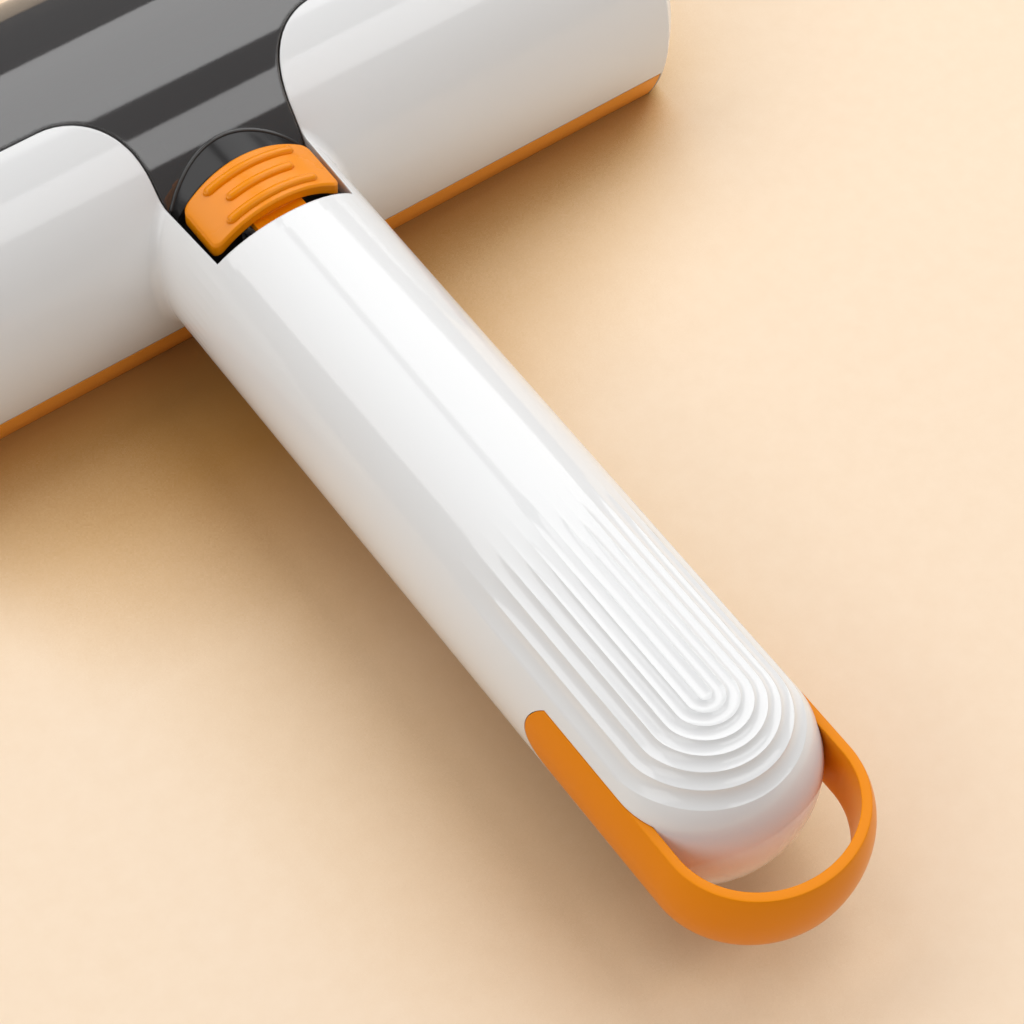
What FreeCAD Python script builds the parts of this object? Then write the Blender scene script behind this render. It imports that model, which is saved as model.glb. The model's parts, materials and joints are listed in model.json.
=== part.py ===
import FreeCAD, Part
import math
import os
import re

# Pet hair removal brush: a drum with velvet pads rocks under a hair chamber
# with a smoky lid. A fluted handle with a hanging loop stands behind it.
# Millimetres. X runs along the head, the handle points to -Y, Z is up.
# Lengths "behind" a place run to -Y.

# Head
head_length = 184           # along X
head_radius = 33.4          # outer radius of the round section
head_axis = 15              # height of the axis above the floor
head_wall = 2.2             # wall of the shell
end_wall = 2.6              # wall at each end
end_bevel = 2.4             # bevel of the end edges
seam = 0.3                  # gap along the seams between shells

# Handle
handle_length = 175.1       # rounded tip, behind the head's axis
handle_radius = 18.7        # outer radius
handle_axis = 22.1          # height of the axis above the floor
handle_wall = 2.2           # wall of the wide hollow
handle_root = 4             # start inside the head, behind the head's axis
crease_round = 2            # rounding in the crease between handle and head
hollow_step = 8.8           # the hollow narrows this far before the loop's legs
narrow_wall = 5.9           # wall of the hollow between the loop's legs
narrow_reach = 3.6          # the narrow hollow passes the rounded end's centre by this
split_drop = 9.4            # joint between upper and lower shell, below the axis
split_offset = 2.6          # lower shell's head end, behind the head's round

# Grip flutes
grip_offset = 1.25          # centre of the flutes' ends, before the rounded end's centre
grip_length = 43.15         # length of the straight flutes until they fade out
grip_core = 1.15            # half width of the innermost arris
grip_pitch = 2.13           # spacing of the arrises
grip_arris = 0.5            # width of each arris
grip_rings = 7              # flutes around the core
grip_run_in = 10            # the tapered floor starts this far before the flutes
grip_depth = 0.25           # depth of the flutes at the grip's end

# Lid opening, the button's notch and the lid
lid_rear = 11.4             # rear edge of the wide opening, behind the head's axis
lid_margin = 5.7            # white rim at each end of the opening
tongue_half = 14.1          # half width of the opening where the wings' rounding ends
notch_half = 13.3           # half width of the notch at its rear corners
notch_reach = 11            # rear edge of the notch at the middle, behind the head's round
notch_bow = 1.2             # bow of the notch's rear edge
wing_round = 13.1           # rounding of the wings' corners beside the tongue
bulkhead_rise = 8.7         # wall left standing under the tongue, above the handle's axis
lid_wall = 2                # wall of the lid
hood_drop = 1.7             # top of the lid's hood below the handle's skin
hinge_angle = 74            # hinge, degrees forward of the top of the head
barrel_radius = 3.5         # hinge barrel
hinge_pin_radius = 1.25     # hinge pins
hinge_pin_reach = 11        # length of each pin inside the lid
pin_cover = 1.3             # wall left outside each hinge pin
pin_slack = 0.4             # play at each end of a hinge pin
pin_fit = 0.05              # running clearance around pins, stems and screws
wall_gap = 0.4              # gap between the lid and the walls that stand under it

# Release button
button_side = 0.9           # gap between the button and each side of the notch
button_tuck = 3.6           # front edge at the middle, inside the head's round
button_bow = 1.2            # bow of the front edge
button_back = 3             # gap between the button and the notch's rear edge
button_rise = 0.2           # skin of the button above the handle's skin
button_wall = 2             # thickness
button_round = 1.6          # rounding of the corners seen from above
button_bevel = 0.35         # bevel of the upper edges
lid_clear = 1               # gap between the lid's rear edge and the button
button_travel = 1.8         # how far the button goes down
rib_half_width = 0.6        # half width of the three finger ribs
rib_rise = 0.5              # height of the ribs
rib_offset = 2.5            # front rib, behind the button's front edge
rib_spacing = 3.55          # spacing of the ribs
rib_half = 8.2              # half length of the outer ribs
rib_short = 6               # half length of the middle rib
tab_half = 4.8              # half width of the rear tab
tab_reach = 2.6             # the tab reaches this far under the handle's shell
tab_thick = 1.5             # thickness of the tab
web_offset = 0.8            # web between button and tab, before the button's rear edge
stem_radius = 2.2           # stem
stem_offset = 7.7           # stem, behind the button's front edge
stem_clear = 6              # lower end of the stem above the guide's underside
guide_drop = 1.1            # underside of the guide's plate below the handle's axis
guide_slack = 0.9           # gap between the plate's ends and the hollow
guide_front = 2.5           # the plate reaches this far before the stem's axis
guide_rear = 4.5            # and this far behind it
guide_thick = 2             # thickness of the plate
guide_room = 3.3            # room left under the tab when the button is down
guide_tube = 1.2            # wall of the guide's tube
ledge_width = 4.6           # ledges in the handle that carry the plate
ledge_thick = 2             # thickness of the ledges
spring_wire = 0.62          # side of the spring's square wire
spring_coils = 4            # turns of the spring

# Hanging loop
loop_above = 7.3            # upper edge, above the handle's axis
loop_below = 5.3            # lower edge, below the handle's axis
loop_reach = 12.5           # the loop stands past the handle's tip by this
loop_thick = 3.1            # thickness of the strap
loop_leg = 32.1             # straight length of each leg
loop_gap = 0.12             # gap around the legs in the handle

# Base frame and lint strips
strip_height = 8.1          # height of the visible edge
strip_inset = 2.7           # white left outside each end
mouth_half = 17             # half width of the drum's opening
mouth_margin = 7.5          # drum's opening, from each end of the head
lint_near = 18.4            # inner edge of each lint strip, from the head's axis
lint_width = 9              # width of each strip
lint_thick = 1              # thickness of each strip
lint_margin = 12            # each end of a strip, from the end of the head
lint_lift = 0.2             # strips above the floor
lint_lip = 0.6              # land under each long edge of a strip
frame_floor = 2.6           # floor of the frame's channels

# Drum
drum_radius = 21            # over the velvet pads
drum_lift = 0.7             # lowest point of the pads above the floor
drum_margin = 9.5           # drum without its caps, from each end of the head
drum_shell = 2.2            # wall of the core
drum_sweep = 62             # half angle of the curved wall
pad_thick = 0.9             # thickness of the velvet pads
pad_near = 3.2              # angle from the wiper's middle to each pad
pad_far = 59                # angle from the wiper's middle to each pad's far edge
pad_bed = 0.05              # glue line under pads and wiper
cap_inset = 2.6             # end caps below the pads' radius
cap_thick = 1.4             # thickness of the end caps
cap_gap = 0.4               # gap between the caps and the bearing blocks
wiper_thick = 1.6           # thickness of the rubber wiper
wiper_rise = 0.3            # rise of the wiper above the pads
wiper_seat = 1.5            # depth of the wiper's slot in the core
hub_radius = 4              # hub
axle_radius = 1.5           # axle
web_thick = 1.6             # thickness of the webs
block_half = 12             # half width of each bearing block
block_rise = 9.3            # top of each bearing block above the drum's axis

# Screws
screw_radius = 1.2          # shank
screw_head = 2.4            # radius of the head
head_thick = 1.5            # thickness of the head
boss_radius = 3.1           # bosses
post_wall = 0.8             # posts in the lower shell, wider than a boss by this
base_sink = 1.1             # base frame screws' heads above the floor
base_screw_margin = 5.6     # base frame screws, from each end of the head
base_screw_y = 22           # base frame screws, from the head's axis
base_screw_bite = 8.9       # their reach above the base frame
handle_sink = 0.4           # handle screws' heads inside the lower shell's skin
near_screw_offset = 26      # first handle screw, behind the lower shell's head end
far_screw_offset = 44.4     # second handle screw, before the rounded end's centre
handle_screw_bite = 9.3     # their reach above the joint of the shells

# Lengths that follow from the sizes
follows = {
    "dome_start": "handle_length - handle_radius",
    "narrow_radius": "handle_radius - narrow_wall",
    "loop_centre": "handle_length + loop_reach - handle_radius",
    "loop_inner": "handle_radius - loop_thick",
    "loop_tip": "loop_centre - loop_leg",
    "loop_high": "handle_axis + loop_above",
    "loop_low": "handle_axis - loop_below",
    "hollow_end": "loop_tip - hollow_step",
    "narrow_end": "dome_start + narrow_reach",
    "split_height": "handle_axis - split_drop",
    "split_start": "head_radius + split_offset",
    "grip_centre": "dome_start - grip_offset",
    "grip_start": "grip_centre - grip_length",
    "notch_rear": "head_radius + notch_reach",
    "bulkhead_top": "handle_axis + bulkhead_rise",
    "hood_skirt": "bulkhead_top + wall_gap",
    "hood_radius": "handle_radius - hood_drop",
    "hinge_y": "(head_radius - barrel_radius) * sin(hinge_angle)",
    "hinge_z": "head_axis + (head_radius - barrel_radius) * cos(hinge_angle)",
    "lid_half": "head_length / 2 - lid_margin - seam",
    "button_half": "notch_half - button_side",
    "button_front": "head_radius - button_tuck",
    "button_rear": "notch_rear - button_back",
    "button_radius": "handle_radius + button_rise",
    "button_arc": "(button_half ^ 2 + button_bow ^ 2) / (2 * button_bow)",
    "tab_top": "handle_axis + sqrt((handle_radius - handle_wall) ^ 2 - tab_half ^ 2) - seam",
    "tab_low": "tab_top - tab_thick",
    "stem_place": "button_front + stem_offset",
    "guide_base": "handle_axis - guide_drop",
    "guide_half": "handle_radius - handle_wall - guide_slack",
    "guide_top": "tab_low - button_travel - guide_room",
    "guide_outer": "stem_radius + pin_fit + guide_tube",
    "coil_radius": "guide_outer + seam + spring_wire / 2",
    "coil_low": "guide_base + guide_thick + seam / 3 + spring_wire / 2",
    "coil_high": "tab_low - seam - spring_wire / 2",
    "frame_half": "head_length / 2 - strip_inset - seam",
    "mouth_end": "head_length / 2 - mouth_margin",
    "lint_end": "head_length / 2 - lint_margin",
    "lint_far": "lint_near + lint_width",
    "drum_axis": "drum_radius + drum_lift",
    "drum_end": "head_length / 2 - drum_margin",
    "core_radius": "drum_radius - pad_thick - pad_bed",
    "slot_top": "drum_axis - core_radius + wiper_seat",
    "cap_radius": "drum_radius - cap_inset",
    "block_top": "drum_axis + block_rise",
    "base_screw_x": "head_length / 2 - base_screw_margin",
    "base_seat": "base_sink + head_thick",
    "base_screw_top": "strip_height + base_screw_bite",
    "handle_seat": "handle_axis - handle_radius + handle_sink + head_thick",
    "handle_screw_near": "split_start + near_screw_offset",
    "handle_screw_far": "dome_start - far_screw_offset",
    "handle_screw_top": "split_height + handle_screw_bite",
}

os.makedirs("parts", exist_ok=True)
doc = FreeCAD.newDocument("PetHairBrush")
sheet = doc.addObject("Spreadsheet::Sheet", "Sizes")
sizes = {alias: number for alias, number in dict(vars()).items() if isinstance(number, (int, float))}
for row, (alias, number) in enumerate(sizes.items(), 1):
    sheet.set("A%d" % row, alias)
    sheet.set("B%d" % row, str(number))
    sheet.setAlias("B%d" % row, alias)
doc.recompute()
nodes = []


# Every size in a formula becomes its cell, every length that follows becomes its own formula
def formula(text):
    def full(word):
        if word.group() in follows:
            return "(%s)" % formula(follows[word.group()])
        return "Sizes." + word.group() if word.group() in sizes else word.group()
    return re.sub(r"[a-z_]+", full, str(text))


def bind(obj, bindings):
    for place, text in bindings.items():
        obj.setExpression(place, formula(text))
    return obj


X_AXIS = FreeCAD.Rotation(FreeCAD.Vector(0, 1, 0), 90)
BACKWARD = FreeCAD.Rotation(FreeCAD.Vector(1, 0, 0), 90)
UPWARD = FreeCAD.Rotation()


def place(obj, at, turn=UPWARD):
    obj.Placement.Rotation = turn
    for axis, text in zip("xyz", at):
        bind(obj, {"Placement.Base." + axis: text})
    return obj


def cylinder(name, radius, length, at, turn=UPWARD):
    obj = doc.addObject("Part::Cylinder", name)
    bind(obj, {"Radius": radius, "Height": length})
    return place(obj, at, turn)


def box(name, low, high):
    obj = doc.addObject("Part::Box", name)
    for side, a, b in zip(("Length", "Width", "Height"), low, high):
        bind(obj, {side: "(%s) - (%s)" % (b, a)})
    return place(obj, low)


def fuse(name, *shapes):
    obj = doc.addObject("Part::MultiFuse", name)
    obj.Shapes = list(shapes)
    return obj


def common(name, *shapes):
    obj = doc.addObject("Part::MultiCommon", name)
    obj.Shapes = list(shapes)
    return obj


def cut(name, base, *tools):
    for n, tool in enumerate(tools, 1):
        obj = doc.addObject("Part::Cut", name if n == len(tools) else "%s_%d" % (name, n))
        obj.Base = base
        obj.Tool = tool
        base = obj
    return base


def treat_edges(kind, name, base, amount, test):
    doc.recompute()
    edges = [n for n, edge in enumerate(base.Shape.Edges, 1) if test(edge)]
    obj = doc.addObject(kind, name)
    obj.Base = base
    obj.Edges = [(n, amount, amount) for n in edges]
    return obj


def middle(edge):
    return edge.valueAt((edge.FirstParameter + edge.LastParameter) / 2)


def node(obj, label):
    obj.Label = label
    nodes.append(obj)
    return obj


# The two places of a mirrored piece: name, sign, and the span between two distances on that side
SIDES = (("left", "-1"), ("right", "1"))
ENDS = (("rear", "-1"), ("front", "1"))


def span(sign, near, far):
    return (near, far) if sign == "1" else ("-(%s)" % far, "-(%s)" % near)


# A round bar along Y with a ball-shaped end
def round_bar(name, start, start_radius, centre, radius):
    length = "(%s) - (%s)" % (centre, start)
    at = ("0", "-(%s)" % start, "handle_axis")
    if start_radius == radius:
        bar = cylinder(name + "_bar", radius, length, at, BACKWARD)
    else:
        bar = doc.addObject("Part::Cone", name + "_bar")
        bind(bar, {"Radius1": start_radius, "Radius2": radius, "Height": length})
        place(bar, at, BACKWARD)
    ball = doc.addObject("Part::Sphere", name + "_ball")
    bind(ball, {"Radius": radius})
    place(ball, ("0", "-(%s)" % centre, "handle_axis"), BACKWARD)
    return fuse(name, bar, ball)


def handle_form(name):
    return round_bar(name, "handle_root", "handle_radius", "dome_start", "handle_radius")


def head_cylinder(name, radius, half):
    return cylinder(name, radius, "2 * (%s)" % half, ("-(%s)" % half, "0", "head_axis"), X_AXIS)


def along_handle(name, radius, length):
    return cylinder(name, radius, length, ("0", "0", "handle_axis"), BACKWARD)


def on_head_end(edge):
    return edge.Closed and abs(abs(middle(edge).x) - head_length / 2) < 0.01


def on_crease(edge):
    point = middle(edge)
    from_head = math.hypot(point.y, point.z - head_axis) - head_radius
    from_handle = math.hypot(point.x, point.z - handle_axis) - handle_radius
    return abs(from_head) < 0.01 and abs(from_handle) < 0.01


# The lid opening seen from above: a wide rectangle, a tongue behind it and rounded wing corners.
# The gap shrinks it for the lid itself.
def lid_outline(name, gap, front_low, tongue_low):
    top = "head_radius * 2"
    side = "(head_length / 2 - lid_margin - (%s))" % gap
    bend = "-(lid_rear + wing_round)"
    inside = "-lid_rear + head_wall"
    wide = box(name + "_wide", ("-" + side, "-(lid_rear - (%s))" % gap, front_low), (side, top, top))
    neck = box(name + "_neck", ("-(tongue_half - (%s))" % gap, bend, tongue_low),
               ("tongue_half - (%s)" % gap, inside, top))
    tongue = doc.addObject("Part::Wedge", name + "_tongue")
    bind(tongue, {"Ymin": "-notch_rear", "Ymax": bend,
                  "Xmin": "-(notch_half - (%s))" % gap, "Xmax": "notch_half - (%s)" % gap,
                  "X2min": "-(tongue_half - (%s))" % gap, "X2max": "tongue_half - (%s)" % gap,
                  "Zmin": tongue_low, "Zmax": top, "Z2min": tongue_low, "Z2max": top})
    pieces = [wide, neck, tongue]
    for side_name, sign in SIDES:
        low, high = span(sign, "tongue_half / 2", "tongue_half + wing_round")
        corner = box(name + "_corner_" + side_name, (low, bend, tongue_low), (high, inside, top))
        wing = cylinder(name + "_wing_" + side_name, "wing_round + (%s)" % gap, top,
                        (sign + " * (tongue_half + wing_round)", bend, "0"))
        pieces.append(cut(name + "_fill_" + side_name, corner, wing))
    return fuse(name, *pieces)


# Outer form of the housing: head and handle in one, with the opening cut before the crease is rounded
def housing_form():
    blank = head_cylinder("head_blank", "head_radius", "head_length / 2")
    head = treat_edges("Part::Chamfer", "head_bevelled", blank, end_bevel, on_head_end)
    arc = "(notch_half ^ 2 + notch_bow ^ 2) / (2 * notch_bow)"
    bow = cylinder("notch_bow_cylinder", arc, "head_radius * 2", ("0", arc + " - notch_rear", "0"))
    ahead = box("notch_ahead", ("-head_length", "-lid_rear", "0"),
                ("head_length", "head_radius * 2", "head_radius * 2"))
    plan = lid_outline("opening_plan", "0", "hinge_z - barrel_radius - wall_gap", "bulkhead_top")
    opening = common("opening", plan, fuse("notch_limit", bow, ahead))
    opened = cut("opened", fuse("joined", head, handle_form("handle_blank")), opening)
    return treat_edges("Part::Fillet", "housing_form", opened, crease_round, on_crease)


# Hanging loop: legs flush in the handle's sides and a round end with the handle's own curve
def loop_side(name, gap):
    half = "(loop_high - loop_low) / 2"
    bar = box(name + "_bar", ("-head_radius", "-(loop_centre + 2 * handle_radius)", "loop_low - (%s)" % gap),
              ("head_radius", "-(loop_tip + %s)" % half, "loop_high + (%s)" % gap))
    tip = cylinder(name + "_tip", half + " + (%s)" % gap, "2 * head_radius",
                   ("-head_radius", "-(loop_tip + %s)" % half, "(loop_high + loop_low) / 2"), X_AXIS)
    return fuse(name, bar, tip)


def loop_hole(name, gap):
    inner = "loop_inner - (%s)" % gap
    legs = box(name + "_legs", ("-(%s)" % inner, "-loop_centre", "0"), (inner, "0", "2 * head_radius"))
    end = cylinder(name + "_end", inner, "2 * head_radius", ("0", "-loop_centre", "0"))
    return fuse(name, legs, end)


def hanging_loop():
    outer = round_bar("loop_outer", "handle_root", "handle_radius", "loop_centre", "handle_radius")
    strap = common("loop_strap", outer, loop_side("loop_band", "0"))
    return node(cut("loop", strap, loop_hole("loop_hole", "0")), "hanging_loop")


def loop_recess():
    return cut("loop_recess", loop_side("recess_band", "loop_gap"), loop_hole("recess_core", "loop_gap"))


# Grip: shallow flutes between concentric round-ended arrises, fading out towards the head
def racetrack(name, half):
    straight = box(name + "_straight", ("-(%s)" % half, "-grip_centre", "handle_axis"),
                   (half, "grip_run_in - grip_start", "2 * head_radius"))
    end = cylinder(name + "_end", half, "2 * head_radius - handle_axis",
                   ("0", "-grip_centre", "handle_axis"))
    return fuse(name, straight, end)


def grip_floor():
    fade = "grip_depth / (grip_centre - grip_start)"
    deep = "(handle_radius - (dome_start - grip_start) * %s)" % fade
    return round_bar("grip_floor", "grip_start - grip_run_in", "handle_radius + grip_run_in * " + fade,
                     "dome_start", deep)


def grip_flutes():
    flutes = [racetrack("flute_core", "grip_core - grip_arris / 2")]
    for ring in range(grip_rings):
        inner = "grip_core + %d * grip_pitch + grip_arris / 2" % ring
        outer = "grip_core + %d * grip_pitch - grip_arris / 2" % (ring + 1)
        flutes.append(cut("flute_%d" % ring, racetrack("flute_outer_%d" % ring, outer),
                          racetrack("flute_inner_%d" % ring, inner)))
    return cut("grip_flutes", fuse("flute_rings", *flutes), grip_floor())


# Main housing: wings, end walls and upper handle in one moulding
def handle_hollow(name):
    wide = along_handle(name + "_wide", "handle_radius - handle_wall", "hollow_end")
    narrow = along_handle(name + "_narrow", "narrow_radius", "narrow_end")
    stop = head_cylinder(name + "_stop", "head_radius", "head_length / 2")
    return cut(name, fuse(name + "_room", wide, narrow), stop)


def lower_region(name, start, top):
    return box(name, ("-head_radius", "-(dome_start + 2 * handle_radius)", "-head_radius"),
               ("head_radius", "-(%s)" % start, top))


def base_screws():
    for x_name, x_sign in SIDES:
        for y_name, y_sign in ENDS:
            yield y_name + "_" + x_name, x_sign + " * base_screw_x", y_sign + " * base_screw_y"


def handle_screws():
    yield "front", "-handle_screw_near"
    yield "rear", "-handle_screw_far"


def housing_shell():
    chamber = head_cylinder("chamber", "head_radius - head_wall", "head_length / 2 - end_wall")
    half = "head_length / 2 - strip_inset"
    band = box("frame_band", ("-(%s)" % half, "-head_radius * 2", "-head_radius"),
               (half, "head_radius * 2", "strip_height"))
    frame_room = common("frame_room", band,
                        head_cylinder("frame_room_round", "head_radius + seam / 2", half))
    below_floor = box("below_floor", ("-head_length", "-dome_start * 2", "-head_radius"),
                      ("head_length", "head_radius * 2", "0"))
    lower_room = lower_region("lower_room", "split_start - seam", "split_height")
    return cut("housing_shell", housing_form(), below_floor, lower_room, loop_recess(), grip_flutes(),
               chamber,
               frame_room, handle_hollow("upper_hollow"))


def main_housing():
    added = [housing_shell()]
    holes = []
    frame_top = "strip_height - seam"
    for name, x, y in base_screws():
        added.append(cylinder("boss_" + name, "boss_radius",
                              "base_screw_top + head_thick - (%s)" % frame_top,
                              (x, y, frame_top)))
        holes.append(cylinder("thread_" + name, "screw_radius + pin_fit",
                              "base_screw_top + 3 * seam - strip_height",
                              (x, y, "strip_height - 2 * seam")))
    for name, y in handle_screws():
        added.append(cylinder("handle_boss_" + name, "boss_radius",
                              "handle_axis + handle_radius - handle_wall / 2 - split_height",
                              ("0", y, "split_height")))
        holes.append(cylinder("handle_thread_" + name, "screw_radius + pin_fit",
                              "handle_screw_top + 2 * seam - split_height", ("0", y, "split_height - seam")))
    for name, sign in SIDES:
        low, high = span(sign, "head_length / 2 - lid_margin", "head_length / 2 - end_wall + head_wall / 2")
        added.append(cylinder("ear_" + name, "barrel_radius - seam", "(%s) - (%s)" % (high, low),
                              (low, "hinge_y", "hinge_z"), X_AXIS))
        low, high = span(sign, "head_length / 2 - lid_margin - seam", "head_length / 2 - pin_cover")
        holes.append(cylinder("pin_hole_" + name, "hinge_pin_radius + pin_fit", "(%s) - (%s)" % (high, low),
                              (low, "hinge_y", "hinge_z"), X_AXIS))
        low, high = span(sign, "handle_radius - handle_wall / 2 - ledge_width",
                         "handle_radius - handle_wall / 2")
        added.append(box("ledge_" + name,
                         (low, "-(stem_place + guide_rear + seam)", "guide_base - ledge_thick"),
                         (high, "-(stem_place - guide_front - seam)", "guide_base")))
    return node(cut("housing", fuse("housing_body", *added), *holes), "main_housing")


def handle_lower_shell():
    top = "split_height - seam / 3"
    form = common("lower_form", handle_form("lower_handle"), lower_region("lower_part", "split_start", top))
    shell = cut("lower_blank", form, handle_hollow("lower_hollow"))
    posts = []
    holes = []
    for name, y in handle_screws():
        foot = "handle_axis - handle_radius + handle_wall / 2"
        posts.append(cylinder("post_" + name, "boss_radius + post_wall", "%s - (%s)" % (top, foot),
                              ("0", y, foot)))
        holes.append(cylinder("lower_hole_" + name, "screw_radius + pin_fit", "split_height", ("0", y, "0")))
        holes.append(cylinder("lower_sink_" + name, "screw_head + seam", "handle_seat", ("0", y, "0")))
    return node(cut("lower_shell", fuse("lower_body", shell, *posts), *holes), "handle_lower_shell")


# Base frame: the orange rim that closes the head's underside around the drum
def base_frame():
    slab = box("frame_slab", ("-frame_half", "-head_radius", "0"),
               ("frame_half", "head_radius", "strip_height - seam"))
    block = common("frame_block", head_cylinder("frame_round", "head_radius", "frame_half"), slab)
    cuts = [box("mouth", ("-mouth_end", "-mouth_half", "-seam"),
                ("mouth_end", "mouth_half", "strip_height"))]
    for name, sign in ENDS:
        low, high = span(sign, "lint_near + lint_lip", "lint_far - lint_lip")
        cuts.append(box("channel_" + name, ("-lint_end", low, "frame_floor"),
                        ("lint_end", high, "strip_height")))
        low, high = span(sign, "lint_near - seam / 3", "lint_far + seam / 3")
        cuts.append(box("lint_land_" + name, ("-(lint_end + seam / 3)", low, "-seam"),
                        ("lint_end + seam / 3", high, "lint_lift + lint_thick")))
    for name, x, y in base_screws():
        cuts.append(cylinder("frame_hole_" + name, "screw_radius + pin_fit", "strip_height + seam",
                             (x, y, "-seam")))
        cuts.append(cylinder("frame_sink_" + name, "screw_head + seam / 2", "base_seat + seam",
                             (x, y, "-seam")))
    return node(cut("frame", block, *cuts), "base_frame")


def lint_strip(name, sign):
    low, high = span(sign, "lint_near", "lint_far")
    strip = box("lint_" + name, ("-lint_end", low, "lint_lift"),
                ("lint_end", high, "lint_lift + lint_thick"))
    return node(strip, name + "_lint_strip")


# Lid: a smoky shell over the hair chamber with a hood that meets the button
def lid():
    front = cylinder("lid_bow", "button_arc", "head_radius * 2",
                     ("0", "lid_clear - button_front - button_arc", "0"))
    outline = cut("lid_outline", lid_outline("lid_plan", "seam", "hinge_z", "hood_skirt"), front)
    skin = fuse("lid_round", head_cylinder("lid_skin", "head_radius", "lid_half"),
                along_handle("hood_outer", "hood_radius", "button_front + button_bow"))
    shell = cut("lid_shell", common("lid_outer", skin, outline),
                head_cylinder("lid_room", "head_radius - lid_wall", "head_length"),
                along_handle("hood_inner", "hood_radius - lid_wall", "button_front - lid_clear - lid_wall"))
    barrel = cylinder("lid_barrel", "barrel_radius", "2 * lid_half",
                      ("-lid_half", "hinge_y", "hinge_z"), X_AXIS)
    holes = []
    for name, sign in SIDES:
        low, high = span(sign, "lid_half + seam - hinge_pin_reach", "lid_half + seam")
        holes.append(cylinder("lid_hole_" + name, "hinge_pin_radius + pin_fit", "(%s) - (%s)" % (high, low),
                              (low, "hinge_y", "hinge_z"), X_AXIS))
    return node(cut("lid_solid", fuse("lid_body", shell, barrel), *holes), "lid")


def hinge_pin(name, sign):
    low, high = span(sign, "lid_half + seam - hinge_pin_reach + pin_slack",
                     "head_length / 2 - pin_cover - pin_slack")
    pin = cylinder("hinge_rod_" + name, "hinge_pin_radius", "(%s) - (%s)" % (high, low),
                   (low, "hinge_y", "hinge_z"), X_AXIS)
    return node(pin, name + "_hinge_pin")


# Release button: a saddle on the handle's curve with three ribs, a stem and a rear tab
def release_button():
    block = box("button_box", ("-button_half", "-button_rear", "handle_axis"),
                ("button_half", "-button_front", "head_radius * 2"))
    bow = cylinder("button_bow_cylinder", "button_arc", "head_radius * 2",
                   ("0", "-button_front - button_arc", "0"))
    plan = common("button_plan", block, bow)
    rounded = treat_edges("Part::Fillet", "button_rounded", plan, button_round, is_upright)
    saddle = common("button_saddle", rounded, along_handle("button_skin", "button_radius", "notch_rear"))
    bevelled = treat_edges("Part::Chamfer", "button_bevelled", saddle, button_bevel, on_button_rim)
    cap = cut("button_cap", bevelled,
              along_handle("button_room", "button_radius - button_wall", "notch_rear"))
    tab = box("tab", ("-tab_half", "-(notch_rear + tab_reach)", "tab_low"),
              ("tab_half", "-(button_rear - web_offset - tab_thick)", "tab_top"))
    web = box("tab_web", ("-tab_half", "-(button_rear - web_offset)", "tab_low"),
              ("tab_half", "-(button_rear - web_offset - tab_thick)",
               "handle_axis + button_radius - button_wall / 2"))
    stem = cylinder("stem", "stem_radius",
                    "handle_axis + button_radius - button_wall / 2 - guide_base - stem_clear",
                    ("0", "-stem_place", "guide_base + stem_clear"))
    collar = cylinder("collar", "coil_radius + spring_wire / 2", "tab_thick",
                      ("0", "-stem_place", "tab_low"))
    return node(fuse("button", cap, tab, web, stem, collar, finger_ribs()), "release_button")


def is_upright(edge):
    return abs(edge.tangentAt(edge.FirstParameter).z) > 0.99


def on_button_rim(edge):
    ends = [edge.valueAt(p) for p in (edge.FirstParameter, edge.LastParameter)] + [middle(edge)]
    return all(abs(math.hypot(p.x, p.z - handle_axis) - handle_radius - button_rise) < 0.01 for p in ends)


def finger_ribs():
    bars = []
    for n, half in enumerate(("rib_half", "rib_short", "rib_half")):
        y = "-(button_front + rib_offset + %d * rib_spacing)" % n
        bars.append(box("rib_%d" % n, ("-" + half, y + " - rib_half_width", "handle_axis"),
                        (half, y + " + rib_half_width", "2 * head_radius")))
        for side, sign in SIDES:
            bars.append(cylinder("rib_%d_%s" % (n, side), "rib_half_width", "2 * head_radius - handle_axis",
                                 ("%s * %s" % (sign, half), y, "handle_axis")))
    skin = along_handle("rib_skin", "button_radius + rib_rise", "notch_rear")
    root = along_handle("rib_root", "button_radius - button_wall / 2", "notch_rear")
    return cut("ribs", common("ribs_proud", fuse("rib_bars", *bars), skin), root)


def button_guide():
    plate = box("guide_plate", ("-guide_half", "-(stem_place + guide_rear)", "guide_base"),
                ("guide_half", "-(stem_place - guide_front)", "guide_base + guide_thick"))
    foot = cylinder("guide_foot", "guide_outer + seam + spring_wire", "guide_thick",
                    ("0", "-stem_place", "guide_base"))
    tube = cylinder("guide_tube_outer", "guide_outer", "guide_top - guide_base",
                    ("0", "-stem_place", "guide_base"))
    bore = cylinder("guide_bore", "stem_radius + pin_fit", "guide_top",
                    ("0", "-stem_place", "guide_base - seam"))
    return node(cut("guide", fuse("guide_body", plate, foot, tube), bore), "button_guide")


def button_spring():
    helix = doc.addObject("Part::Helix", "spring_path")
    bind(helix, {"Radius": "coil_radius", "Height": "coil_high - coil_low",
                 "Pitch": "(coil_high - coil_low) / spring_coils"})
    place(helix, ("0", "-stem_place", "coil_low"))
    wire = doc.addObject("Part::RegularPolygon", "spring_section")
    wire.Polygon = 4
    bind(wire, {"Circumradius": "spring_wire / sqrt(2)"})
    flat = FreeCAD.Rotation(FreeCAD.Vector(0, 0, 1), 45)
    place(wire, ("coil_radius", "-stem_place", "coil_low"), BACKWARD * flat)
    doc.recompute()
    sweep = doc.addObject("Part::Sweep", "spring")
    sweep.Sections = [wire]
    sweep.Spine = (helix, ["Edge%d" % n for n in range(1, len(helix.Shape.Edges) + 1)])
    sweep.Solid = True
    sweep.Frenet = True
    return node(sweep, "button_spring")


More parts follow.
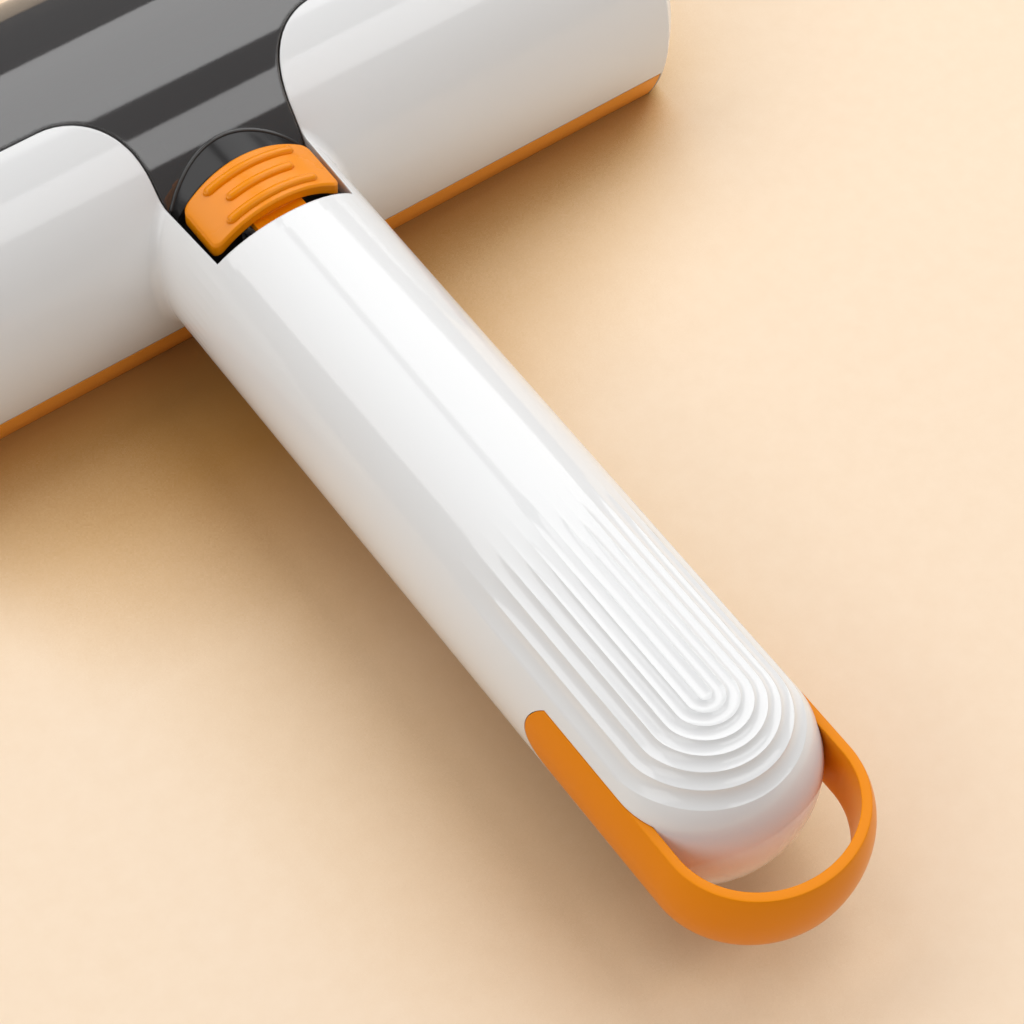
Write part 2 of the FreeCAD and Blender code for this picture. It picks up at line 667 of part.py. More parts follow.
# Drum: a curved wall on webs around a steel axle, with velvet pads and a rubber wiper
def sector(name, radius, start, sweep, low_x, length):
    disc = doc.addObject("Part::Cylinder", name + "_disc")
    bind(disc, {"Radius": radius, "Height": length, "Angle": sweep})
    place(disc, (low_x, "0", "drum_axis"), X_AXIS)
    turned = doc.addObject("Part::Compound", name)
    turned.Links = [disc]
    turned.Placement.Rotation = FreeCAD.Rotation(FreeCAD.Vector(1, 0, 0), 1)
    bind(turned, {"Placement.Rotation.Angle": start,
                  "Placement.Base.y": "drum_axis * sin(%s)" % start,
                  "Placement.Base.z": "drum_axis * (1 - cos(%s))" % start})
    return turned


def drum_round(name, radius):
    return cylinder(name, radius, "head_length", ("-head_length / 2", "0", "drum_axis"), X_AXIS)


def drum_core():
    wall = cut("drum_wall", sector("drum_wall_outer", "core_radius", "-drum_sweep", "2 * drum_sweep",
                                   "-drum_end", "2 * drum_end"),
               drum_round("drum_wall_inner", "core_radius - drum_shell"))
    hub = cylinder("drum_hub", "hub_radius", "2 * drum_end", ("-drum_end", "0", "drum_axis"), X_AXIS)
    webs = []
    for n, x in enumerate(("-0.6 * drum_end", "0", "0.6 * drum_end")):
        webs.append(sector("web_%d" % n, "core_radius - drum_shell / 2", "-drum_sweep", "2 * drum_sweep",
                           x + " - web_thick / 2", "web_thick"))
    slot = box("wiper_slot", ("-head_length", "-(wiper_thick / 2 + pad_bed)", "drum_axis - drum_radius"),
               ("head_length", "wiper_thick / 2 + pad_bed", "slot_top"))
    body = fuse("drum_body", wall, hub, *webs)
    return node(cut("drum", body, slot, drum_round("drum_bore", "axle_radius + pin_fit")), "drum_core")


def drum_pad(name, start):
    pad = cut("pad_" + name, sector("pad_outer_" + name, "drum_radius", start, "pad_far - pad_near",
                                    "-drum_end", "2 * drum_end"),
              drum_round("pad_inner_" + name, "drum_radius - pad_thick"))
    return node(pad, "drum_pad_" + name)


def drum_wiper():
    blade = box("wiper", ("-drum_end", "-wiper_thick / 2", "drum_axis - drum_radius - wiper_rise"),
                ("drum_end", "wiper_thick / 2", "slot_top - pad_bed"))
    return node(blade, "drum_wiper")


def drum_cap(name, sign):
    low, high = span(sign, "drum_end", "drum_end + cap_thick")
    disc = fuse("cap_body_" + name,
                sector("cap_disc_" + name, "cap_radius", "-drum_sweep", "2 * drum_sweep", low, "cap_thick"),
                cylinder("cap_hub_" + name, "hub_radius", "cap_thick", (low, "0", "drum_axis"), X_AXIS))
    return node(cut("cap_" + name, disc, drum_round("cap_bore_" + name, "axle_radius + pin_fit")),
                name + "_drum_cap")


def bearing_block(name, sign):
    low, high = span(sign, "drum_end + cap_thick + cap_gap", "head_length / 2 - end_wall")
    block = box("block_" + name, (low, "-block_half", "strip_height - seam"),
                (high, "block_half", "block_top"))
    return node(cut("bearing_" + name, block, drum_round("block_bore_" + name, "axle_radius + pin_fit")),
                name + "_bearing_block")


def drum_axle():
    half = "(head_length / 2 - end_wall - seam)"
    return node(cylinder("axle", "axle_radius", "2 * " + half, ("-" + half, "0", "drum_axis"), X_AXIS),
                "drum_axle")


def screw(name, x, y, seat, top):
    shank = cylinder(name + "_shank", "screw_radius", "%s - %s" % (top, seat), (x, y, seat))
    head = cylinder(name + "_top", "screw_head", "head_thick", (x, y, seat + " - head_thick"))
    return node(fuse(name + "_body", shank, head), name)


main_housing()
handle_lower_shell()
hanging_loop()
base_frame()
lid()
release_button()
button_guide()
button_spring()
drum_core()
drum_pad("front", "pad_near")
drum_pad("rear", "-pad_far")
drum_wiper()
drum_axle()
for name, sign in ENDS:
    lint_strip(name, sign)
for name, sign in SIDES:
    hinge_pin(name, sign)
    drum_cap(name, sign)
    bearing_block(name, sign)
for name, x, y in base_screws():
    screw("base_screw_" + name, x, y, "base_seat", "base_screw_top")
for name, y in handle_screws():
    screw("handle_screw_" + name, "0", y, "handle_seat", "handle_screw_top")

doc.recompute()
bad = [obj.Name for obj in doc.Objects if "Invalid" in obj.State or "Error" in obj.State]
bad += [obj.Label for obj in nodes if obj.Shape.isNull() or not obj.Shape.isValid()]
if bad:
    raise RuntimeError("These features did not build: " + ", ".join(bad))
for obj in nodes:
    obj.Shape.exportStep("parts/%s.step" % obj.Label)
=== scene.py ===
import json
import math

import bmesh
import bpy
import numpy as np
from mathutils import Matrix, Vector


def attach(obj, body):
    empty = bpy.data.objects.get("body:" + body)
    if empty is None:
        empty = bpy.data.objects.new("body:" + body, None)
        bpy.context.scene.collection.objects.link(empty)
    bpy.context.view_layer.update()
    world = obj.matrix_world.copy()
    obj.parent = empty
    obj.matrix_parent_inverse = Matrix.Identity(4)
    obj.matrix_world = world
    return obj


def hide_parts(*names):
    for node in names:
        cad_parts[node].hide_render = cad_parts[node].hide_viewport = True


# A pet hair roller on a pale cream floor. X runs along the head, the handle points to -Y and Z is up.
# Sizes and places of the shapes are millimetres, and MM turns them into metres. In materials, the camera and
# lights they are metres from the start.

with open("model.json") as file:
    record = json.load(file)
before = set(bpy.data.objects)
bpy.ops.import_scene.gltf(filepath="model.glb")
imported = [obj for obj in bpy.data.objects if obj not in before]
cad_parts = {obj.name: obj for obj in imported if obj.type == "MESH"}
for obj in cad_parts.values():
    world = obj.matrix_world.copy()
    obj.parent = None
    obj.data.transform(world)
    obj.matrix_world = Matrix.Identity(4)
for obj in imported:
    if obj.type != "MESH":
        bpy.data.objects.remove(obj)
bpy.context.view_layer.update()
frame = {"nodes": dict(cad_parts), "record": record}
nodes = frame["nodes"]
scene = bpy.context.scene
MM = 0.001

# Forms that the solids have too
HEAD_R, HEAD_Z = 33.4, 15.0
HEAD_END = 88.5
HANDLE_R, HANDLE_Z = 18.7, 22.1
DOME_Y, DOME_DEPTH = -158.1, 17.0
SPLIT_Z = 12.7
HOOD_R = 17.0
BUTTON_R = 18.9

# Where the housing's copy ends and the finer grip begins
REAR_FROM = -47.0

# Concentric flutes on top of the grip: a core groove, rings round it, and a fade towards the head
GRIP_Y, GRIP_CORE, GRIP_PITCH, GRIP_RINGS = -155.3, 1.14, 2.11, 7
GRIP_EDGE = GRIP_CORE + GRIP_RINGS * GRIP_PITCH
GRIP_DEPTH, FADE_FROM, FADE_TO = 0.36, -110.0, -134.0

# Hanging loop
LOOP_LOW, LOOP_HIGH, LOOP_TIP, LOOP_INNER = 16.8, 29.6, -136.8, 15.6
LOOP_Y, LOOP_STRETCH, LOOP_INNER_DEPTH, LOOP_ROUND = -170.6, 0.907, 13.9, 7.3
LOOP_MIDDLE = LOOP_LOW + LOOP_ROUND
LOOP_ARC_Y = LOOP_TIP - LOOP_ROUND

# Vertices nearer than this, in metres, are joined, in new meshes and in copies of the solids' meshes
MERGE, COPY_MERGE = 1e-6, 1e-7


def add_object(name, data):
    obj = bpy.data.objects.new(name, data)
    scene.collection.objects.link(obj)
    return obj


# Camera at the photograph's place. The frame's origin falls on the picture's pixel ORIGIN_PX.
PHOTO_PX, SENSOR_MM = 1024, 36
FOCAL_PX, DISTANCE = 2968.593, 0.53934
ORIGIN_PX = (159.669, 198.548)
AZIMUTH, ELEVATION, ROLL = (math.radians(a) for a in (-38.8544, 56.2408, 3.51))


def add_camera():
    back = Vector((math.sin(AZIMUTH) * math.cos(ELEVATION), -math.cos(AZIMUTH) * math.cos(ELEVATION),
                   math.sin(ELEVATION)))
    right = Vector((math.cos(AZIMUTH), math.sin(AZIMUTH), 0))
    up = back.cross(right)
    across = right * math.cos(ROLL) + up * math.sin(ROLL)
    upward = up * math.cos(ROLL) - right * math.sin(ROLL)
    metres_per_px = DISTANCE / FOCAL_PX
    x = (ORIGIN_PX[0] - PHOTO_PX / 2) * metres_per_px
    y = (PHOTO_PX / 2 - ORIGIN_PX[1]) * metres_per_px
    place = back * DISTANCE - across * x - upward * y
    data = bpy.data.cameras.new("camera")
    data.sensor_width = SENSOR_MM
    data.lens = FOCAL_PX / PHOTO_PX * SENSOR_MM
    data.clip_start = 0.01
    camera = add_object("camera", data)
    turn = Matrix((across, upward, back)).transposed()
    camera.matrix_world = Matrix.Translation(place) @ turn.to_4x4()
    scene.camera = camera


add_camera()
scene.view_settings.view_transform = "Standard"


# Materials
CHANNEL_MAX = 255
BEVEL_SAMPLES = 6
PILE_STRETCH, BRUSHED = (1, 0.35, 1), (1, 8, 8)
# Places of the colour sockets on Blender's Mix node
MIX_FACTOR, MIX_A, MIX_B, MIX_RESULT = 0, 6, 7, 2


def decode(channel):
    value = channel / CHANNEL_MAX
    return value / 12.92 if value <= 0.04045 else ((value + 0.055) / 1.055) ** 2.4


def linear(r, g, b):
    return decode(r), decode(g), decode(b), 1


class Mat:
    def __init__(self, name, **values):
        self.mat = bpy.data.materials.new(name)
        self.mat.use_nodes = True
        self.tree = self.mat.node_tree
        self.shader = self.tree.nodes["Principled BSDF"]
        for key, value in values.items():
            self.shader.inputs[key.replace("_", " ")].default_value = value

    def node(self, kind, inputs=None, **settings):
        made = self.tree.nodes.new(kind)
        for key, value in settings.items():
            setattr(made, key, value)
        for key, value in (inputs or {}).items():
            if isinstance(value, bpy.types.NodeSocket):
                self.tree.links.new(value, made.inputs[key])
            else:
                made.inputs[key].default_value = value
        return made

    def link(self, socket, name):
        self.tree.links.new(socket, self.shader.inputs[name])

    def noise(self, scale, detail=4, roughness=0.5, stretch=(1, 1, 1)):
        coords = self.node("ShaderNodeTexCoord").outputs["Object"]
        where = self.node("ShaderNodeMapping", {"Vector": coords, "Scale": stretch}).outputs[0]
        texture = self.node("ShaderNodeTexNoise", {"Vector": where, "Scale": scale, "Detail": detail,
                                                   "Roughness": roughness})
        return texture.outputs["Fac"]

    def ramp(self, fac, *stops):
        made = self.node("ShaderNodeValToRGB", {"Fac": fac})
        elements = made.color_ramp.elements
        first, *between, last = stops
        elements[0].position, elements[0].color = first
        elements[1].position, elements[1].color = last
        for position, colour in between:
            elements.new(position).color = colour
        return made.outputs["Color"]

    def tint(self, fac, low, high, start=0.3, end=0.7):
        return self.ramp(fac, (start, low), (end, high))

    def grey(self, fac, low, high):
        return self.tint(fac, (low, low, low, 1), (high, high, high, 1))

    def bump(self, height, distance, strength, edge=0.0):
        under = {}
        if edge:
            rounded = self.node("ShaderNodeBevel", {"Radius": edge}, samples=BEVEL_SAMPLES)
            under["Normal"] = rounded.outputs[0]
        made = self.node("ShaderNodeBump", {"Height": height, "Distance": distance, "Strength": strength,
                                            **under})
        self.link(made.outputs[0], "Normal")


def moulded_white(name, edge):
    m = Mat(name, IOR=1.5)
    m.link(m.tint(m.noise(9, 3), (0.815, 0.815, 0.81, 1), (0.835, 0.835, 0.83, 1)), "Base Color")
    m.link(m.grey(m.noise(60), 0.075, 0.11), "Roughness")
    m.bump(m.noise(900, 2), 0.00002, 0.12, edge)
    return m.mat


def moulded_orange(name, colour, rough, ior):
    m = Mat(name, IOR=ior)
    r, g, b = colour
    m.link(m.tint(m.noise(14, 3), linear(r * 0.975, g * 0.965, b * 0.95), linear(r, g, b)), "Base Color")
    m.link(m.grey(m.noise(80), rough - 0.03, rough + 0.04), "Roughness")
    m.bump(m.noise(2600, 2), 0.00002, 0.2, edge=0.0003)
    return m.mat


def smoky():
    m = Mat("smoky_lid", IOR=1.84, Alpha=0.86)
    m.link(m.tint(m.noise(12, 2), linear(62, 60, 60), linear(68, 66, 65)), "Base Color")
    m.link(m.grey(m.noise(40, 3), 0.045, 0.075), "Roughness")
    m.bump(m.noise(30, 2), 0.00003, 0.1, edge=0.0009)
    return m.mat


def velvet():
    m = Mat("red_velvet", Roughness=0.95, Sheen_Weight=0.8, Sheen_Roughness=0.35,
            Sheen_Tint=linear(255, 120, 110))
    pile = m.noise(2200, 2, 0.6, PILE_STRETCH)
    m.link(m.tint(pile, linear(96, 8, 10), linear(196, 26, 30), end=0.75), "Base Color")
    m.bump(pile, 0.0004, 0.8)
    return m.mat


def plain(name, low, high, rough, scale=40, stretch=(1, 1, 1), edge=0.0, **values):
    m = Mat(name, **values)
    fac = m.noise(scale, stretch=stretch)
    m.link(m.tint(fac, linear(*low), linear(*high)), "Base Color")
    m.link(m.grey(fac, rough - 0.04, rough + 0.06), "Roughness")
    m.bump(m.noise(scale * 20, 2, stretch=stretch), 0.00002, 0.2, edge)
    return m.mat


WHITE = moulded_white("white_shell", edge=0.0005)
GRIP = moulded_white("white_grip", edge=0.00012)
ORANGE = moulded_orange("orange_satin", (240, 141, 0), rough=0.32, ior=1.24)
BUTTON = moulded_orange("orange_button", (247, 147, 2), rough=0.27, ior=1.38)
STRIP = moulded_orange("orange_frame", (248, 166, 66), rough=0.38, ior=1.24)
SMOKY = smoky()
VELVET = velvet()
INNER = plain("inner_plastic", (218, 217, 213), (226, 225, 222), 0.4)
# Painted shade: a darker copy of the smoky lid colour, for the hood part of the same lid.
SHADED_HOOD = plain("smoky_hood_painted_shade", (34, 33, 33), (40, 39, 39), 0.16, edge=0.0005, IOR=1.33)
RIM = plain("smoky_rim", (58, 57, 56), (66, 65, 64), 0.12)
# Painted shade: dark grey for the notch's inner faces, which are white plastic like the rest of the housing.
PAINTED_NOTCH_SHADE = plain("painted_notch_shade", (66, 64, 62), (76, 74, 72), 0.5)
RUBBER = plain("dark_rubber", (22, 22, 22), (30, 30, 30), 0.6)
STEEL = plain("steel", (150, 150, 152), (182, 182, 184), 0.28, scale=30, stretch=BRUSHED, Metallic=1.0)

FINISH = {"white_shell": WHITE, "orange_plastic": ORANGE, "smoky_lid": SMOKY, "inner_plastic": INNER,
          "red_velvet": VELVET, "dark_rubber": RUBBER, "steel": STEEL}


def paint(obj, material):
    obj.data.materials.clear()
    obj.data.materials.append(material)


def soften(mesh, angle=28):
    mesh.polygons.foreach_set("use_smooth", [True] * len(mesh.polygons))
    mesh.set_sharp_from_angle(angle=math.radians(angle))


for entry in frame["record"]["subparts"]:
    node = nodes[entry["node"]]
    paint(node, FINISH[entry["material_slot"]])
    soften(node.data)
paint(nodes["base_frame"], STRIP)
paint(nodes["release_button"], BUTTON)


# Mesh helpers
def mesh_object(name, verts, faces, merge=0.0):
    mesh = bpy.data.meshes.new(name)
    mesh.from_pydata([Vector(v) * MM for v in verts], [], faces)
    bm = bmesh.new()
    bm.from_mesh(mesh)
    if merge:
        bmesh.ops.remove_doubles(bm, verts=bm.verts, dist=merge)
    bmesh.ops.recalc_face_normals(bm, faces=bm.faces)
    bm.to_mesh(mesh)
    bm.free()
    return add_object(name, mesh)


def loft(rings):
    count = len(rings[0])
    verts = [point for ring in rings for point in ring]
    last = len(verts) - count
    faces = [tuple(range(count)), tuple(range(last, len(verts)))]
    for start in range(0, last, count):
        for k in range(count):
            a, b = start + k, start + (k + 1) % count
            faces.append((a, b, b + count, a + count))
    return verts, faces


def apply_modifiers(obj):
    bpy.context.view_layer.update()
    ready = bpy.data.meshes.new_from_object(obj.evaluated_get(bpy.context.evaluated_depsgraph_get()))
    obj.modifiers.clear()
    obj.data = ready


def carve(obj, cutters):
    for cutter in cutters:
        change = obj.modifiers.new("carve", "BOOLEAN")
        change.operation = "DIFFERENCE"
        change.solver = "EXACT"
        change.object = cutter
    apply_modifiers(obj)
    for cutter in cutters:
        bpy.data.objects.remove(cutter)


def rod(name, radius, y0, y1, segments=96):
    turns = [2 * math.pi * i / segments for i in range(segments)]
    rings = [[(radius * math.cos(a), y, HANDLE_Z + radius * math.sin(a)) for a in turns] for y in (y0, y1)]
    return mesh_object(name, *loft(rings))


# Rear part of the upper handle: concave flutes with sharp arrises, round end, recesses for the loop
CORE_STEPS, RING_STEPS, SIDE_STEPS, END_STEPS, FLANK_STEPS = 6, 12, 52, 96, 40
WIDE_BORE, WIDE_END = 16.5, -128
NARROW_BORE, NARROW_END = 12.8, -160
WIDE_START, NARROW_START = REAR_FROM + 1, REAR_FROM + 2


def flute_depth(half, y):
    if half >= GRIP_EDGE:
        return 0.0
    if half < GRIP_CORE:
        across = 0.5 + half / (2 * GRIP_CORE)
    else:
        across = ((half - GRIP_CORE) / GRIP_PITCH) % 1
    t = min(1, max(0, (y - FADE_FROM) / (FADE_TO - FADE_FROM)))
    return GRIP_DEPTH * 4 * across * (1 - across) * t * t * (3 - 2 * t)


def on_form(x, y):
    along = min(0, y - DOME_Y) / DOME_DEPTH
    up = math.sqrt(max(0, 1 - (x / HANDLE_R) ** 2 - along ** 2))
    normal = Vector((x / HANDLE_R ** 2, along / DOME_DEPTH, up / HANDLE_R)).normalized()
    return Vector((x, y, HANDLE_Z + HANDLE_R * up)), normal


def fluted_places(steps):
    sides = np.linspace(REAR_FROM, GRIP_Y, SIDE_STEPS + 1)
    columns = [[(half, y) for half in steps] for y in sides[:-1]]
    for k in range(END_STEPS + 1):
        a = math.pi * k / END_STEPS
        columns.append([(half * math.cos(a), GRIP_Y - half * math.sin(a)) for half in steps])
    columns += [[(-half, y) for half in steps] for y in np.linspace(GRIP_Y, REAR_FROM, SIDE_STEPS + 1)[1:]]
    return columns


def flank(x, y):
    along = min(0, y - DOME_Y) / DOME_DEPTH
    flat = math.hypot(x / HANDLE_R, along)
    from_top = math.asin(flat)
    lowest = math.acos((SPLIT_Z - HANDLE_Z) / HANDLE_R)
    points = []
    for k in range(1, FLANK_STEPS + 1):
        polar = from_top + (lowest - from_top) * k / FLANK_STEPS
        grow = math.sin(polar) / flat
        y_here = y if y > DOME_Y else DOME_Y + DOME_DEPTH * along * grow
        points.append(Vector((x * grow, y_here, HANDLE_Z + HANDLE_R * math.cos(polar))))
    return points


def open_seam(mesh):
    bm = bmesh.new()
    bm.from_mesh(mesh)
    seam = [f for f in bm.faces if all(abs(v.co.y - REAR_FROM * MM) < MERGE for v in f.verts)]
    bmesh.ops.delete(bm, geom=seam, context="FACES")
    bm.to_mesh(mesh)
    bm.free()


def rear_shell():
    steps = [GRIP_CORE * k / CORE_STEPS for k in range(CORE_STEPS + 1)]
    for ring in range(GRIP_RINGS):
        steps += [GRIP_CORE + (ring + k / RING_STEPS) * GRIP_PITCH for k in range(1, RING_STEPS + 1)]
    columns = fluted_places(steps)
    verts = []
    for column in columns:
        for half, (x, y) in zip(steps, column):
            point, normal = on_form(x, y)
            verts.append(point - normal * flute_depth(half, y))
        verts += flank(*column[-1])
    count = len(steps) + FLANK_STEPS
    last = (len(columns) - 1) * count
    faces = []
    for start in range(0, last, count):
        faces += [(a, a + 1, a + count + 1, a + count) for a in range(start, start + count - 1)]
    faces.append(tuple(range(count - 1, last + count, count)))
    faces.append(tuple(range(count)) + tuple(last + k for k in reversed(range(1, count))))
    obj = mesh_object("grip_shell", verts, faces, MERGE)
    carve(obj, [loop_recess(1), loop_recess(-1), rod("hollow_wide", WIDE_BORE, WIDE_START, WIDE_END),
                rod("hollow_narrow", NARROW_BORE, NARROW_START, NARROW_END)])
    open_seam(obj.data)
    paint(obj, GRIP)
    soften(obj.data, 20)
    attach(obj, "housing")


RECESS_GAP, PAST_END, PAST_SIDE, RECESS_STEPS = 0.12, -190.0, 25, 32


def loop_recess(side):
    radius = LOOP_ROUND + RECESS_GAP
    top = LOOP_HIGH + RECESS_GAP
    corner = math.asin((top - LOOP_MIDDLE) / radius)
    outline = [(PAST_END, top)]
    for k in range(RECESS_STEPS + 1):
        a = corner - (corner + math.pi / 2) * k / RECESS_STEPS
        outline.append((LOOP_ARC_Y + radius * math.cos(a), LOOP_MIDDLE + radius * math.sin(a)))
    outline.append((PAST_END, LOOP_LOW - RECESS_GAP))
    walls = (side * (LOOP_INNER - RECESS_GAP), side * PAST_SIDE)
    return mesh_object("recess", *loft([[(x, y, z) for y, z in outline] for x in walls]))


# Head and root of the handle: a copy of the housing, its end edges rounded, its notch's inner faces painted
# dark as shade
END_EDGE, END_ANGLES = 0.95, (math.radians(38), math.radians(52))
FLAT_ANGLE = math.radians(0.05)
NOTCH_X, NOTCH_Y, NOTCH_Z, NOTCH_R = 6, -24, 14, 18.2


def in_notch(face):
    x, y, z = face.center / MM
    within = x < NOTCH_X and y < NOTCH_Y and z > NOTCH_Z and math.hypot(x, z - HANDLE_Z) < NOTCH_R
    return within and face.normal.y < 0.5


def front_shell():
    mesh = nodes["main_housing"].data.copy()
    bm = bmesh.new()
    bm.from_mesh(mesh)
    bmesh.ops.remove_doubles(bm, verts=bm.verts, dist=COPY_MERGE)
    geometry = bm.verts[:] + bm.edges[:] + bm.faces[:]
    bmesh.ops.bisect_plane(bm, geom=geometry, dist=COPY_MERGE, plane_co=(0, REAR_FROM * MM, 0),
                           plane_no=(0, -1, 0), clear_outer=True)
    bmesh.ops.dissolve_limit(bm, angle_limit=FLAT_ANGLE, verts=bm.verts, edges=bm.edges)
    low, high = END_ANGLES
    ends = [e for e in bm.edges if e.is_manifold and low < e.calc_face_angle(0) < high
            and min(abs(v.co.x) for v in e.verts) > HEAD_END * MM]
    bmesh.ops.bevel(bm, geom=ends, offset=END_EDGE * MM, segments=3, profile=0.5, affect="EDGES",
                    clamp_overlap=True)
    bmesh.ops.triangulate(bm, faces=[f for f in bm.faces if len(f.verts) > 4])
    bm.to_mesh(mesh)
    bm.free()
    obj = add_object("head_shell", mesh)
    paint(obj, WHITE)
    # Faces inside the notch take the painted shade.
    mesh.materials.append(PAINTED_NOTCH_SHADE)
    for face in mesh.polygons:
        face.material_index = int(in_notch(face))
    soften(mesh, 24)
    weigh = obj.modifiers.new("even", "WEIGHTED_NORMAL")
    weigh.keep_sharp = True
    weigh.weight = 80
    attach(obj, "housing")
    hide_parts("main_housing")


front_shell()
rear_shell()


# Hanging loop: a strap whose outside carries on the handle's curve
LEG_ARC_STEPS, LEG_STEPS, LOOP_END_STEPS, LOOP_ROWS = 20, 17, 96, 12
STRAP_EDGE = 0.45
THINNEST = 0.02


def strap_reach(y):
    from_centre = max(0, y - LOOP_ARC_Y)
    half = max(THINNEST, math.sqrt(max(0, LOOP_ROUND ** 2 - from_centre ** 2)))
    return LOOP_MIDDLE - half, min(LOOP_HIGH, LOOP_MIDDLE + half)


def strap_ring(across, along, y, low, high):
    heights = [low + (high - low) * k / LOOP_ROWS for k in range(LOOP_ROWS + 1)]
    ring = [(LOOP_INNER * across, y - LOOP_INNER_DEPTH * along, z) for z in heights]
    for z in reversed(heights):
        wide = math.sqrt(HANDLE_R ** 2 - (z - HANDLE_Z) ** 2)
        ring.append((wide * across, y - LOOP_STRETCH * wide * along, z))
    return ring


def hanging_loop():
    quarter = [math.pi / 2 * k / LEG_ARC_STEPS for k in range(LEG_ARC_STEPS + 1)]
    legs = [LOOP_TIP - LOOP_ROUND * (1 - math.cos(a)) for a in quarter]
    legs += list(np.linspace(legs[-1], LOOP_Y, LEG_STEPS + 1)[1:-1])
    rings = [strap_ring(1, 0, y, *strap_reach(y)) for y in legs]
    for k in range(LOOP_END_STEPS + 1):
        a = math.pi * k / LOOP_END_STEPS
        rings.append(strap_ring(math.cos(a), math.sin(a), LOOP_Y, LOOP_LOW, LOOP_HIGH))
    rings += [strap_ring(-1, 0, y, *strap_reach(y)) for y in reversed(legs)]
    obj = mesh_object("hanging_loop_strap", *loft(rings), MERGE)
    edge = obj.modifiers.new("edge", "BEVEL")
    edge.width = STRAP_EDGE * MM
    edge.segments = 3
    edge.limit_method = "ANGLE"
    edge.angle_limit = math.radians(50)
    apply_modifiers(obj)
    paint(obj, ORANGE)
    soften(obj.data, 35)
    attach(obj, "housing")
    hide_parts("hanging_loop")


hanging_loop()


# A bead along points that lie on a curve round the handle's axis
def bead(name, points, radius, material, round_ends=False, sides=12):
    rings = []
    for s, point in enumerate(points):
        before, after = points[max(0, s - 1)], points[min(len(points) - 1, s + 1)]
        along = (after - before).normalized()
        out = Vector((point.x, 0, point.z - HANDLE_Z)).normalized()
        across = along.cross(out).normalized()
        out = across.cross(along)
        size = radius
        if round_ends:
            left = min((point - points[0]).length, (point - points[-1]).length, radius)
            size = max(THINNEST, math.sqrt(radius ** 2 - (radius - left) ** 2))
        turns = [2 * math.pi * k / sides for k in range(sides)]
        rings.append([point + (out * math.cos(a) + across * math.sin(a)) * size for a in turns])
    obj = mesh_object(name, *loft(rings))
    paint(obj, material)
    soften(obj.data, 60)
    return obj


# Lid whose hood has a darker copy of the smoky material, a painted shade, and the thin raised rim round the
# hood
HOOD_FROM, SKIN = -20, 0.03
RIM_RADIUS, RIM_HALF_ARC, RIM_STEPS = 0.38, 49, 60


def lid_cover():
    mesh = nodes["lid"].data.copy()
    obj = add_object("lid_cover", mesh)
    paint(obj, SMOKY)
    mesh.materials.append(SHADED_HOOD)
    for face in mesh.polygons:
        x, y, z = face.center / MM
        face.material_index = int(y < HOOD_FROM and math.hypot(y, z - HEAD_Z) > HEAD_R + SKIN)
    soften(mesh, 24)
    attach(obj, "lid")
    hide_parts("lid")


def hood_rim():
    points = []
    for k in range(RIM_STEPS + 1):
        a = math.radians(RIM_HALF_ARC * (2 * k / RIM_STEPS - 1))
        x, z = HOOD_R * math.sin(a), HANDLE_Z + HOOD_R * math.cos(a)
        points.append(Vector((x, -math.sqrt(HEAD_R ** 2 - (z - HEAD_Z) ** 2), z)))
    obj = bead("hood_rim", points, RIM_RADIUS, RIM)
    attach(obj, "lid")


lid_cover()
hood_rim()


# Rounded finger ribs over the button's own, which they cover
RIB_RADIUS, RIB_SINK, RIB_STEPS = 0.86, 0.06, 40
RIB_FRONT_Y, RIB_SPACING = -32.3, 3.55
RIB_LONG, RIB_SHORT = 8.6, 6.4


def finger_ribs():
    spine = BUTTON_R - RIB_SINK
    for row, (name, half) in enumerate((("front", RIB_LONG), ("middle", RIB_SHORT), ("rear", RIB_LONG))):
        points = []
        for k in range(RIB_STEPS + 1):
            across = -half * math.cos(math.pi * k / RIB_STEPS)
            a = math.asin(across / BUTTON_R)
            points.append(Vector((spine * math.sin(a), RIB_FRONT_Y - row * RIB_SPACING,
                                  HANDLE_Z + spine * math.cos(a))))
        obj = bead("finger_rib_" + name, points, RIB_RADIUS, BUTTON, round_ends=True)
        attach(obj, "button")


finger_ribs()


# Floor of cream paper, browner where the part stands near, as in the photograph. The shade leans to the lit
# side and is weaker under the raised handle.
# The browner colour near the part is a painted shadow, set by the SHADE_ values below.
FLOOR_HALF, FLOOR_Z = 3000, -0.1
SHADE_REACH, SHADE_SAMPLES = 0.055, 8
SHADE_LEAN = {"X": 0.28, "Y": 0.22, "Z": 0.92}
SHADE_STOPS = ((0.48, (0.47, 0.30, 0.11, 1)), (0.68, (0.81, 0.665, 0.44, 1)), (0.84, (0.99, 0.965, 0.92, 1)),
               (0.94, (1, 1, 1, 1)))
HANDLE_SHADE = {"From Min": -0.105, "From Max": -0.055, "To Min": 0.6, "To Max": 1.0}


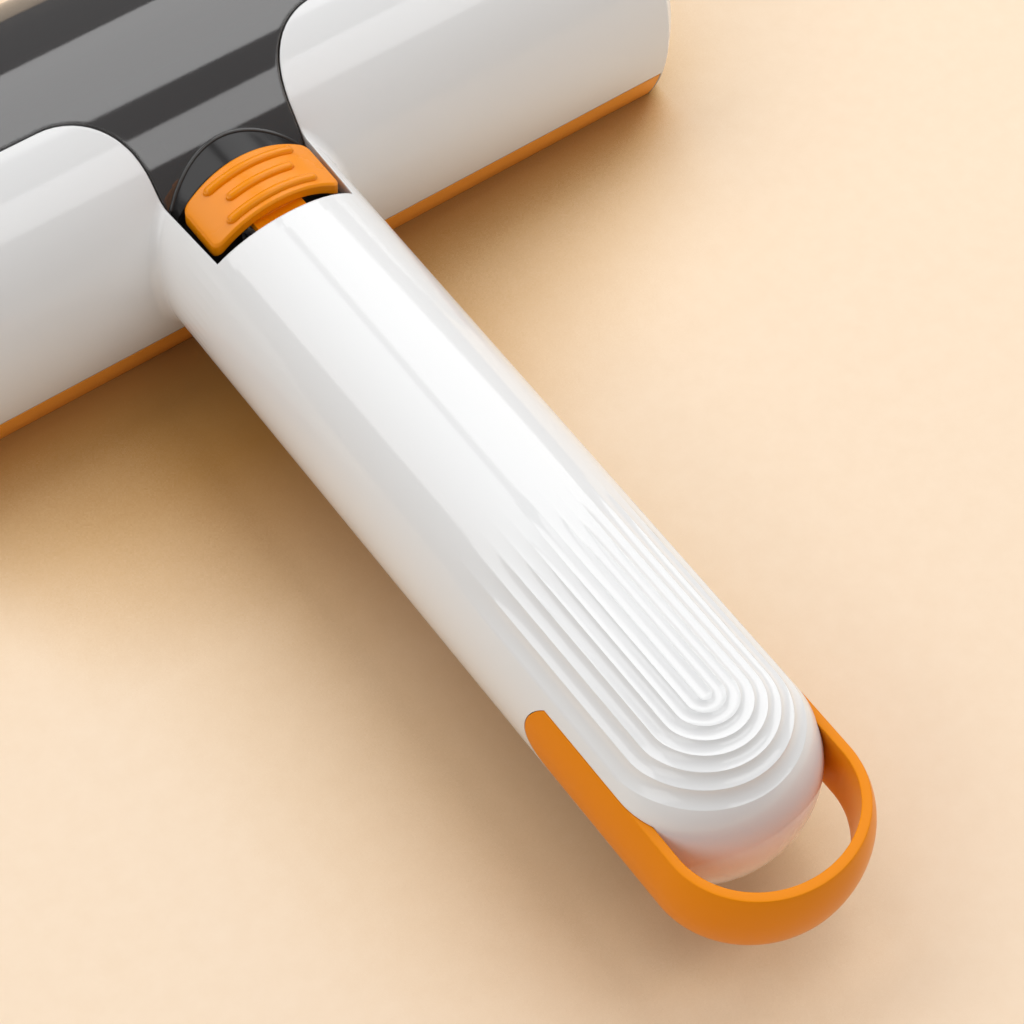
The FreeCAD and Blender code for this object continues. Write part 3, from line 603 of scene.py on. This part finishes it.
def paper_with_painted_shadow():
    m = Mat("paper_with_painted_shadow", Roughness=0.8, Specular_IOR_Level=0.2)
    paper = m.tint(m.noise(260, 3, 0.6), linear(245, 221, 193), linear(247, 224, 197))
    # Painted shadow: ambient occlusion picks a browner shade from SHADE_STOPS, multiplied into the paper
    # colour, weaker under the handle.
    lean = m.node("ShaderNodeCombineXYZ", SHADE_LEAN).outputs[0]
    near = m.node("ShaderNodeAmbientOcclusion", {"Distance": SHADE_REACH, "Normal": lean},
                  samples=SHADE_SAMPLES).outputs["AO"]
    shade = m.ramp(near, *SHADE_STOPS)
    place = m.node("ShaderNodeNewGeometry").outputs["Position"]
    along = m.node("ShaderNodeSeparateXYZ", {0: place}).outputs["Y"]
    shadow_strength = m.node("ShaderNodeMapRange", {"Value": along, **HANDLE_SHADE}).outputs[0]
    painted_shadow = m.node("ShaderNodeMix", {MIX_FACTOR: shadow_strength, MIX_A: paper, MIX_B: shade}, data_type="RGBA",
                  blend_type="MULTIPLY")
    m.link(painted_shadow.outputs[MIX_RESULT], "Base Color")
    m.bump(m.noise(900, 3, 0.6), 0.00008, 0.12)
    return m.mat


def add_floor():
    corners = [(x * FLOOR_HALF, y * FLOOR_HALF, FLOOR_Z) for x, y in ((-1, -1), (1, -1), (1, 1), (-1, 1))]
    mesh = bpy.data.meshes.new("floor")
    mesh.from_pydata([Vector(corner) * MM for corner in corners], [], [(0, 1, 2, 3)])
    obj = add_object("floor", mesh)
    paint(obj, paper_with_painted_shadow())


add_floor()


# Lights, in metres: a large soft box to the right, one behind on the left, a strip in front and one at the
# left side
def soft_box(name, centre, toward, size, radiance):
    data = bpy.data.lights.new(name, "AREA")
    data.shape = "RECTANGLE"
    data.size, data.size_y = size
    data.energy = radiance * math.pi * size[0] * size[1]
    lamp = add_object(name, data)
    aim = (Vector(toward) - Vector(centre)).normalized()
    side = Vector((1, 0, 0)) - aim * aim.x
    side.normalize()
    turn = Matrix((side, (-aim).cross(side), -aim)).transposed()
    lamp.matrix_world = Matrix.Translation(centre) @ turn.to_4x4()


def world_light(colour, strength):
    world = bpy.data.worlds.new("studio")
    world.use_nodes = True
    background = world.node_tree.nodes["Background"]
    background.inputs["Color"].default_value = colour
    background.inputs["Strength"].default_value = strength
    scene.world = world


soft_box("key_box", (1.2, 0.40, 1.1), (0.86, 0.17, 0), size=(1.85, 1.35), radiance=2.5)
soft_box("fill_box", (-0.62, 0.85, 1.25), (-0.3, 0.4, 0), size=(1.6, 0.9), radiance=2.4)
soft_box("low_strip", (0.53, -0.943, 1.179), (0, 0, 0), size=(1.3, 0.55), radiance=2.2)
soft_box("side_box", (-1.45, -0.25, 0.95), (0, 0, 0), size=(1.0, 1.2), radiance=1.6)
world_light((0.96, 0.97, 1.0, 1), strength=0.21)
